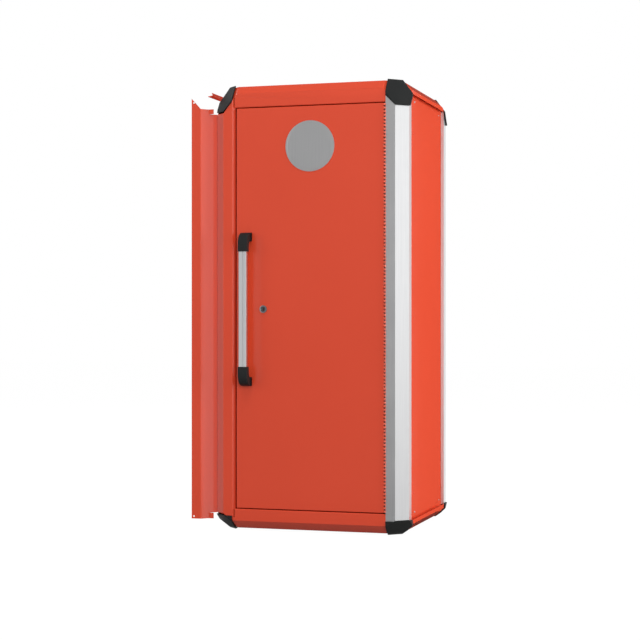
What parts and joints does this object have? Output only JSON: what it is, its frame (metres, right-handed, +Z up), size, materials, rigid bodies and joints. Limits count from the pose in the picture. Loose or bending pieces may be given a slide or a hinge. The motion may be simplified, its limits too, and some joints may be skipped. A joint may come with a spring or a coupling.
{
  "type": "tool chest side locker",
  "caption": "Tall sheet-steel side locker for a tool chest: inset door on a continuous hinge, bar handle and key lock, corner trims, shelves inside and a wing that joins the chest.",
  "frame": {"origin": "on the floor, under the middle of the whole object's box, wing and handle included", "axes": "+Z up; +Y from the front to the back, so the door faces -Y; +X to the right seen from the front"},
  "size_m": [0.5602, 0.51, 1.114],
  "materials": {
    "orange_paint": "orange-red powder coat, gloss",
    "satin_aluminium": "satin anodised extrusion",
    "black_plastic": "black moulded plastic, fine grain",
    "plated_steel": "bright zinc-plated steel",
    "painted_hinge": "hinge painted with the cabinet",
    "chrome_lock": "polished chrome lock face",
    "black_rubber": "black rubber"
  },
  "bodies": {
    "cabinet": {"top_panel": "orange_paint", "bottom_panel": "orange_paint", "left_side_panel": "orange_paint", "right_side_panel": "orange_paint", "back_panel": "orange_paint", "hinge_post": "orange_paint", "mounting_wing": "orange_paint", "top_mounting_rail": "orange_paint", "floor_panel": "orange_paint", "shelf_1": "orange_paint", "shelf_2": "orange_paint", "front_right_trim": "satin_aluminium", "rear_right_trim": "satin_aluminium", "top_front_right_cap": "black_plastic", "top_rear_right_cap": "black_plastic", "top_front_left_cap": "black_plastic", "top_rear_left_cap": "black_plastic", "bottom_front_right_foot": "black_plastic", "bottom_rear_right_foot": "black_plastic", "bottom_front_left_foot": "black_plastic", "bottom_rear_left_foot": "black_plastic", "magnetic_catch": "black_plastic", "hinge_pin": "plated_steel", "left_front_standard": "plated_steel", "left_rear_standard": "plated_steel", "right_front_standard": "plated_steel", "right_rear_standard": "plated_steel", "shelf_1_left_front_clip": "plated_steel", "shelf_1_left_rear_clip": "plated_steel", "shelf_1_right_front_clip": "plated_steel", "shelf_1_right_rear_clip": "plated_steel", "shelf_2_left_front_clip": "plated_steel", "shelf_2_left_rear_clip": "plated_steel", "shelf_2_right_front_clip": "plated_steel", "shelf_2_right_rear_clip": "plated_steel", "hinge_frame_leaf": "painted_hinge", "door_bumper_1": "black_rubber", "door_bumper_2": "black_rubber"},
    "door": {"door_skin": "orange_paint", "door_inner_panel": "orange_paint", "hinge_door_leaf": "painted_hinge", "handle_bar": "satin_aluminium", "handle_lower_bracket": "black_plastic", "handle_upper_bracket": "black_plastic", "lock_housing": "chrome_lock", "lock_nut": "plated_steel", "catch_strike": "plated_steel", "upper_bolt_near_guide": "plated_steel", "upper_bolt_far_guide": "plated_steel", "lower_bolt_near_guide": "plated_steel", "lower_bolt_far_guide": "plated_steel"},
    "lock_cylinder": {"lock_plug": "chrome_lock", "lock_cam": "plated_steel", "lock_cam_screw": "plated_steel"},
    "upper_bolt": {"upper_lock_bolt": "plated_steel"},
    "lower_bolt": {"lower_lock_bolt": "plated_steel"}
  },
  "joints": [
    {"name": "door_swing", "type": "hinge", "parent": "cabinet", "child": "door", "pos_m": [0.22215, -0.2212, 0.554], "axis": [0, 0, 1], "range_deg": [0, 170]},
    {"name": "lock_turn", "type": "hinge", "parent": "door", "child": "lock_cylinder", "pos_m": [-0.08915, -0.199, 0.552], "axis": [0, 1, 0], "range_deg": [0, 90]},
    {"name": "upper_bolt_slide", "type": "slide", "parent": "door", "child": "upper_bolt", "axis": [0, 0, 1], "range_m": [0, 0.015]},
    {"name": "lower_bolt_slide", "type": "slide", "parent": "door", "child": "lower_bolt", "axis": [0, 0, -1], "range_m": [0, 0.015]}
  ],
  "couplings": [
    {"joint": "lock_turn", "follows": "upper_bolt_slide", "rad_per_m": 104.7},
    {"joint": "lower_bolt_slide", "follows": "upper_bolt_slide", "ratio": 1}
  ]
}
